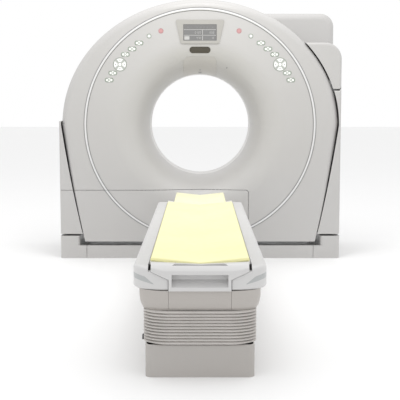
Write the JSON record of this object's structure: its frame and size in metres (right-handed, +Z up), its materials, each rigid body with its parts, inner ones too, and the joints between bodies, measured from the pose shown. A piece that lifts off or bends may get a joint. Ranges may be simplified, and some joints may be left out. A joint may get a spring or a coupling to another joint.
{
  "type": "ct scanner",
  "caption": "Computed-tomography scanner: a tilting ring gantry with a round bore on two stands, and a lifting patient table with a sliding padded cradle.",
  "frame": {"origin": "on the floor, straight below the isocentre, on the underside of the gantry floor plate", "axes": "+Z up, +Y from the foot end of the table into the bore, +X to the right seen from the table"},
  "size_m": [2.04, 3.79, 1.87],
  "materials": {
    "cover_white": "satin",
    "frame_steel": "satin",
    "motor_metal": "satin",
    "base_grey": "satin",
    "bellows_fabric": "matte",
    "bare_steel": "brushed",
    "ring_grey": "satin",
    "liner_plastic": "satin",
    "bezel_plastic": "satin",
    "display_glass": "gloss",
    "dark_window": "gloss",
    "projector_plastic": "satin",
    "belt_rubber": "matte",
    "drum_aluminium": "satin",
    "slip_ring_brass": "polished",
    "tube_metal": "satin",
    "module_metal": "satin",
    "detector_metal": "anodised",
    "apron_plastic": "satin",
    "rail_white": "satin",
    "carbon_shell": "satin",
    "mattress_vinyl": "satin",
    "pad_vinyl": "satin",
    "stop_red": "satin",
    "key_white": "satin",
    "pad_grey": "satin"
  },
  "bodies": {
    "base": {"base_frame": "frame_steel", "plinth_cover": "cover_white", "foot_covers": "cover_white", "stand_left": "frame_steel", "stand_right": "frame_steel", "side_cover_left": "cover_white", "side_cover_right": "cover_white", "tilt_gearmotor": "motor_metal", "cable_duct": "base_grey", "table_base": "base_grey", "bellows": "bellows_fabric", "lift_outer": "bare_steel"},
    "gantry": {"tilt_frame": "frame_steel", "front_cover": "cover_white", "service_panel": "cover_white", "trim_ring": "ring_grey", "top_cover": "cover_white", "rear_cover": "cover_white", "bore_liner": "liner_plastic", "shoulder_cover": "cover_white", "hump_cover": "cover_white", "display_bezel": "bezel_plastic", "display_panel": "display_glass", "sensor_window": "dark_window", "projector_cover": "projector_plastic", "drive_motor": "motor_metal", "drive_belt": "belt_rubber"},
    "rotor": {"rotor_drum": "drum_aluminium", "slip_ring": "slip_ring_brass", "xray_tube": "tube_metal", "hv_generator": "module_metal", "tube_cooler": "module_metal", "detector": "detector_metal"},
    "drive_pulley": {"motor_pulley": "bare_steel"},
    "lift_stage": {"lift_middle": "bare_steel"},
    "table_top": {"lift_inner": "bare_steel", "table_frame": "frame_steel", "apron": "apron_plastic", "side_rails": "rail_white"},
    "cradle_body": {"cradle": "carbon_shell", "cradle_end_cover": "rail_white", "mattress": "mattress_vinyl", "head_holder": "carbon_shell", "head_pad": "pad_vinyl"},
    "stop_button_left_body": {"stop_button_left": "stop_red"},
    "stop_button_right_body": {"stop_button_right": "stop_red"},
    "light_key_left_body": {"light_key_left": "key_white"},
    "light_key_right_body": {"light_key_right": "key_white"},
    "tilt_rocker_left_body": {"tilt_rocker_left": "key_white"},
    "tilt_rocker_right_body": {"tilt_rocker_right": "key_white"},
    "height_rocker_left_body": {"height_rocker_left": "key_white"},
    "height_rocker_right_body": {"height_rocker_right": "key_white"},
    "cradle_rocker_left_body": {"cradle_rocker_left": "key_white"},
    "cradle_rocker_right_body": {"cradle_rocker_right": "key_white"},
    "four_way_pad_left_body": {"four_way_pad_left": "pad_grey"},
    "four_way_pad_right_body": {"four_way_pad_right": "pad_grey"},
    "memory_rocker_left_body": {"memory_rocker_left": "key_white"},
    "memory_rocker_right_body": {"memory_rocker_right": "key_white"},
    "preset_rocker_left_body": {"preset_rocker_left": "key_white"},
    "preset_rocker_right_body": {"preset_rocker_right": "key_white"}
  },
  "joints": [
    {"name": "gantry_tilt", "type": "hinge", "parent": "base", "child": "gantry", "pos_m": [0, 0, 0.97], "axis": [1, 0, 0], "range_deg": [-10, 30]},
    {"name": "rotor_spin", "type": "hinge", "parent": "gantry", "child": "rotor", "pos_m": [0, 0.1, 0.97], "axis": [0, 1, 0], "continuous": true},
    {"name": "pulley_spin", "type": "hinge", "parent": "gantry", "child": "drive_pulley", "pos_m": [0.62, 0.1, 0.32], "axis": [0, 1, 0], "continuous": true},
    {"name": "table_lift", "type": "slide", "parent": "base", "child": "table_top", "axis": [0, 0, 1], "range_m": [0, 0.45], "deforming": ["bellows"]},
    {"name": "lift_stage_slide", "type": "slide", "parent": "base", "child": "lift_stage", "axis": [0, 0, 1], "range_m": [0, 0.225]},
    {"name": "cradle_slide", "type": "slide", "parent": "table_top", "child": "cradle_body", "axis": [0, 1, 0], "range_m": [0, 0.1]},
    {"name": "stop_button_left_press", "type": "slide", "parent": "gantry", "child": "stop_button_left_body", "axis": [0, 1, 0], "range_m": [0, 0.002], "stiffness_N_per_m": 1000},
    {"name": "stop_button_right_press", "type": "slide", "parent": "gantry", "child": "stop_button_right_body", "axis": [0, 1, 0], "range_m": [0, 0.002], "stiffness_N_per_m": 1000},
    {"name": "light_key_left_press", "type": "slide", "parent": "gantry", "child": "light_key_left_body", "axis": [0, 1, 0], "range_m": [0, 0.002], "stiffness_N_per_m": 1000},
    {"name": "light_key_right_press", "type": "slide", "parent": "gantry", "child": "light_key_right_body", "axis": [0, 1, 0], "range_m": [0, 0.002], "stiffness_N_per_m": 1000},
    {"name": "tilt_rocker_left_rock", "type": "hinge", "parent": "gantry", "child": "tilt_rocker_left_body", "pos_m": [-0.436, -0.397, 1.558], "axis": [0, 0, 1], "range_deg": [-4, 4], "stiffness_Nm_per_rad": 0.5},
    {"name": "tilt_rocker_right_rock", "type": "hinge", "parent": "gantry", "child": "tilt_rocker_right_body", "pos_m": [0.436, -0.397, 1.558], "axis": [0, 0, 1], "range_deg": [-4, 4], "stiffness_Nm_per_rad": 0.5},
    {"name": "height_rocker_left_rock", "type": "hinge", "parent": "gantry", "child": "height_rocker_left_body", "pos_m": [-0.486, -0.397, 1.516], "axis": [0, 0, 1], "range_deg": [-4, 4], "stiffness_Nm_per_rad": 0.5},
    {"name": "height_rocker_right_rock", "type": "hinge", "parent": "gantry", "child": "height_rocker_right_body", "pos_m": [0.486, -0.397, 1.516], "axis": [0, 0, 1], "range_deg": [-4, 4], "stiffness_Nm_per_rad": 0.5},
    {"name": "cradle_rocker_left_rock", "type": "hinge", "parent": "gantry", "child": "cradle_rocker_left_body", "pos_m": [-0.535, -0.397, 1.477], "axis": [0, 0, 1], "range_deg": [-4, 4], "stiffness_Nm_per_rad": 0.5},
    {"name": "cradle_rocker_right_rock", "type": "hinge", "parent": "gantry", "child": "cradle_rocker_right_body", "pos_m": [0.535, -0.397, 1.477], "axis": [0, 0, 1], "range_deg": [-4, 4], "stiffness_Nm_per_rad": 0.5},
    {"name": "four_way_pad_left_press", "type": "slide", "parent": "gantry", "child": "four_way_pad_left_body", "axis": [0, 1, 0], "range_m": [0, 0.002], "stiffness_N_per_m": 2500},
    {"name": "four_way_pad_right_press", "type": "slide", "parent": "gantry", "child": "four_way_pad_right_body", "axis": [0, 1, 0], "range_m": [0, 0.002], "stiffness_N_per_m": 2500},
    {"name": "memory_rocker_left_rock", "type": "hinge", "parent": "gantry", "child": "memory_rocker_left_body", "pos_m": [-0.626, -0.397, 1.345], "axis": [0, 0, 1], "range_deg": [-4, 4], "stiffness_Nm_per_rad": 0.5},
    {"name": "memory_rocker_right_rock", "type": "hinge", "parent": "gantry", "child": "memory_rocker_right_body", "pos_m": [0.626, -0.397, 1.345], "axis": [0, 0, 1], "range_deg": [-4, 4], "stiffness_Nm_per_rad": 0.5},
    {"name": "preset_rocker_left_rock", "type": "hinge", "parent": "gantry", "child": "preset_rocker_left_body", "pos_m": [-0.652, -0.397, 1.295], "axis": [0, 0, 1], "range_deg": [-4, 4], "stiffness_Nm_per_rad": 0.5},
    {"name": "preset_rocker_right_rock", "type": "hinge", "parent": "gantry", "child": "preset_rocker_right_body", "pos_m": [0.652, -0.397, 1.295], "axis": [0, 0, 1], "range_deg": [-4, 4], "stiffness_Nm_per_rad": 0.5}
  ],
  "couplings": [
    {"joint": "pulley_spin", "follows": "rotor_spin", "ratio": 12.963},
    {"joint": "lift_stage_slide", "follows": "table_lift", "ratio": 0.5}
  ]
}
